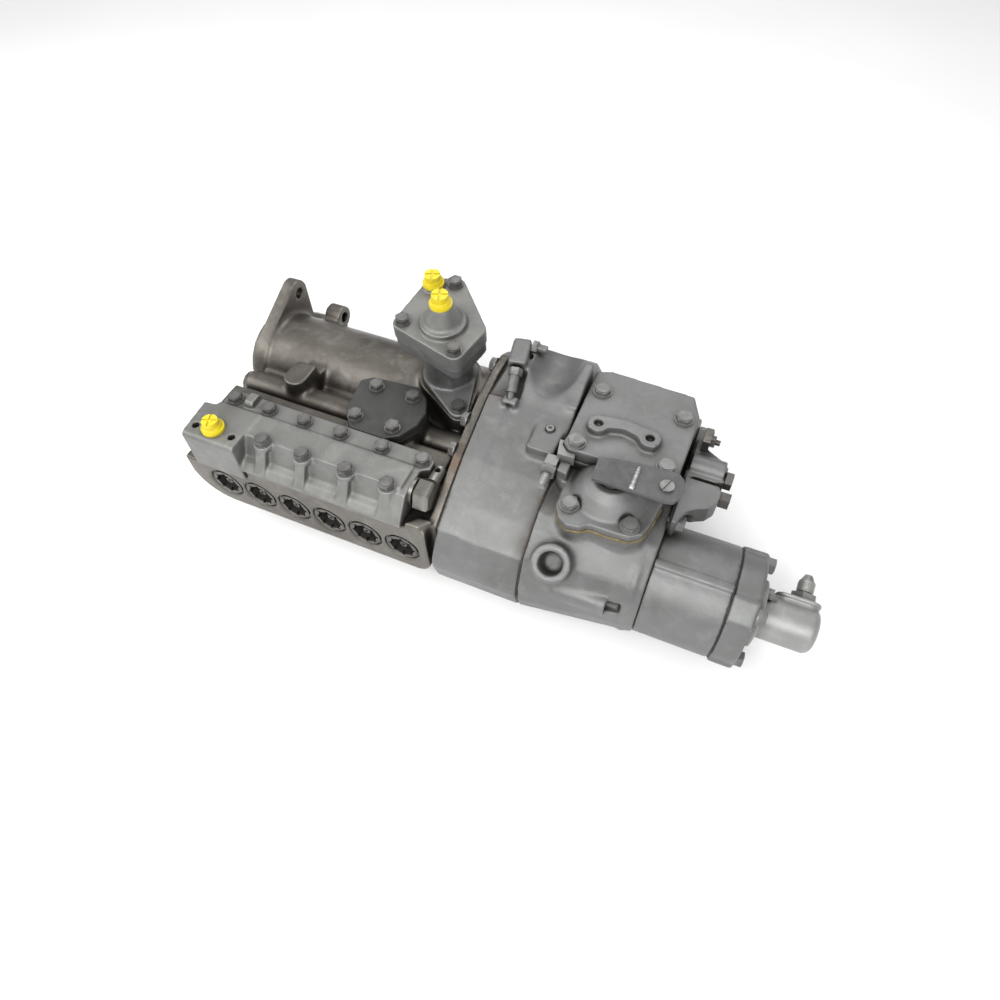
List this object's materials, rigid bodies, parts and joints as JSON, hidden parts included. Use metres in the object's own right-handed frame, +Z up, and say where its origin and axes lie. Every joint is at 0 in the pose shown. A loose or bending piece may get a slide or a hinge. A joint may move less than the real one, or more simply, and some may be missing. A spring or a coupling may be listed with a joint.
{
  "type": "diesel injection pump",
  "caption": "Inline diesel fuel injection pump with cam driven plungers, fuel manifold, transfer pump, mechanical governor and boost controlled fuel ratio unit.",
  "frame": {"origin": "on the camshaft axis, at the front end of the drive pilot, 8 mm ahead of the mounting face of the drive flange, and halfway down the threaded hole in the camshaft end", "axes": "+X along the camshaft from the drive flange to the governor, +Z up as the pump lies, outlets face -Y"},
  "size_m": [0.609, 0.2615, 0.2087],
  "materials": {
    "pump_casting": "satin",
    "pump_casting_grey": "satin",
    "silver_casting": "satin",
    "dark_steel": "satin",
    "bolt_steel": "satin",
    "machined_steel": "satin",
    "spring_steel": "satin",
    "lever_steel": "matte",
    "zinc_plate": "satin",
    "bronze": "satin",
    "rubber_seal": "matte",
    "gasket_sheet": "matte",
    "yellow_plastic": "satin"
  },
  "bodies": {
    "root": {"access_cover": "dark_steel", "air_fitting": "zinc_plate", "cam_lifters": "machined_steel", "camshaft_bushings": "bronze", "cover_gaskets": "gasket_sheet", "delivery_valve_springs": "spring_steel", "delivery_valves": "machined_steel", "drive_seal": "rubber_seal", "end_cap": "silver_casting", "end_cap_bolts": "bolt_steel", "fuel_manifold": "silver_casting", "governor_cover_bolts": "bolt_steel", "governor_front_cover": "silver_casting", "governor_gaskets": "gasket_sheet", "governor_housing_center": "silver_casting", "governor_housing_rear": "silver_casting", "governor_spring": "spring_steel", "governor_top_cover": "silver_casting", "housing_bolts": "bolt_steel", "housing_joint_bolts": "bolt_steel", "housing_screws": "machined_steel", "lifter_springs": "spring_steel", "manifold_fitting": "machined_steel", "manifold_gasket": "gasket_sheet", "outlet_retainers": "dark_steel", "port_caps": "yellow_plastic", "pump_barrels": "machined_steel", "pump_housing": "pump_casting", "ratio_control_body": "silver_casting", "ratio_control_bolts": "bolt_steel", "ratio_control_cover": "silver_casting", "ratio_diaphragm": "rubber_seal", "setting_adjusters": "dark_steel", "setting_cover": "silver_casting", "spring_seat_shaft": "machined_steel", "stop_bracket": "zinc_plate", "stop_screw": "zinc_plate", "transfer_pump_body": "pump_casting_grey", "transfer_pump_cover": "silver_casting", "valve_holders": "machined_steel"},
    "camshaft": {"camshaft": "machined_steel", "flyweight_carrier": "machined_steel"},
    "riser": {"riser_sleeve": "machined_steel"},
    "flyweight_a": {"flyweight_1": "machined_steel"},
    "flyweight_b": {"flyweight_2": "machined_steel"},
    "rack": {"control_rack": "machined_steel", "rack_link": "machined_steel"},
    "throttle": {"throttle_shaft": "machined_steel", "throttle_lever": "lever_steel", "lever_screw": "machined_steel"},
    "transfer_piston": {"transfer_pump_piston": "machined_steel", "transfer_pump_spring": "spring_steel"},
    "ratio": {"ratio_rod": "machined_steel", "ratio_spring": "spring_steel"},
    "plunger_body_1": {"plunger_1": "machined_steel"},
    "plunger_body_2": {"plunger_2": "machined_steel"},
    "plunger_body_3": {"plunger_3": "machined_steel"},
    "plunger_body_4": {"plunger_4": "machined_steel"},
    "plunger_body_5": {"plunger_5": "machined_steel"},
    "plunger_body_6": {"plunger_6": "machined_steel"}
  },
  "joints": [
    {"name": "camshaft_spin", "type": "hinge", "parent": "root", "child": "camshaft", "pos_m": [0, 0, 0], "axis": [1, 0, 0], "continuous": true},
    {"name": "rack_slide", "type": "slide", "parent": "root", "child": "rack", "axis": [1, 0, 0], "range_m": [-0.0055, 0.0055]},
    {"name": "plunger_turn_1", "type": "hinge", "parent": "root", "child": "plunger_body_1", "pos_m": [0.059, -0.09, 0], "axis": [0, 1, 0], "range_deg": [-23.6, 23.6]},
    {"name": "plunger_turn_2", "type": "hinge", "parent": "root", "child": "plunger_body_2", "pos_m": [0.0971, -0.09, 0], "axis": [0, 1, 0], "range_deg": [-23.6, 23.6]},
    {"name": "plunger_turn_3", "type": "hinge", "parent": "root", "child": "plunger_body_3", "pos_m": [0.1352, -0.09, 0], "axis": [0, 1, 0], "range_deg": [-23.6, 23.6]},
    {"name": "plunger_turn_4", "type": "hinge", "parent": "root", "child": "plunger_body_4", "pos_m": [0.1733, -0.09, 0], "axis": [0, 1, 0], "range_deg": [-23.6, 23.6]},
    {"name": "plunger_turn_5", "type": "hinge", "parent": "root", "child": "plunger_body_5", "pos_m": [0.2114, -0.09, 0], "axis": [0, 1, 0], "range_deg": [-23.6, 23.6]},
    {"name": "plunger_turn_6", "type": "hinge", "parent": "root", "child": "plunger_body_6", "pos_m": [0.2495, -0.09, 0], "axis": [0, 1, 0], "range_deg": [-23.6, 23.6]},
    {"name": "riser_slide", "type": "slide", "parent": "camshaft", "child": "riser", "axis": [1, 0, 0], "range_m": [0, 0.003]},
    {"name": "flyweight_swing_a", "type": "hinge", "parent": "camshaft", "child": "flyweight_a", "pos_m": [0.3, 0.022, 0], "axis": [0, 0, 1], "range_deg": [0, 15.2]},
    {"name": "flyweight_swing_b", "type": "hinge", "parent": "camshaft", "child": "flyweight_b", "pos_m": [0.3, -0.022, 0], "axis": [0, 0, -1], "range_deg": [0, 15.2]},
    {"name": "throttle_swing", "type": "hinge", "parent": "root", "child": "throttle", "pos_m": [0.413, -0.1005, 0.09], "axis": [0, 0, 1], "range_deg": [-32, 6]},
    {"name": "transfer_stroke", "type": "slide", "parent": "root", "child": "transfer_piston", "axis": [0, -0.061, 0.9981], "range_m": [0, 0.005]},
    {"name": "ratio_slide", "type": "slide", "parent": "root", "child": "ratio", "axis": [1, 0, 0], "range_m": [-0.006, 0]}
  ],
  "couplings": [
    {"joint": "plunger_turn_1", "follows": "rack_slide", "rad_per_m": 74.074},
    {"joint": "plunger_turn_2", "follows": "rack_slide", "rad_per_m": 74.074},
    {"joint": "plunger_turn_3", "follows": "rack_slide", "rad_per_m": 74.074},
    {"joint": "plunger_turn_4", "follows": "rack_slide", "rad_per_m": 74.074},
    {"joint": "plunger_turn_5", "follows": "rack_slide", "rad_per_m": 74.074},
    {"joint": "plunger_turn_6", "follows": "rack_slide", "rad_per_m": 74.074},
    {"joint": "flyweight_swing_a", "follows": "riser_slide", "rad_per_m": 87.266},
    {"joint": "flyweight_swing_b", "follows": "riser_slide", "rad_per_m": 87.266}
  ]
}
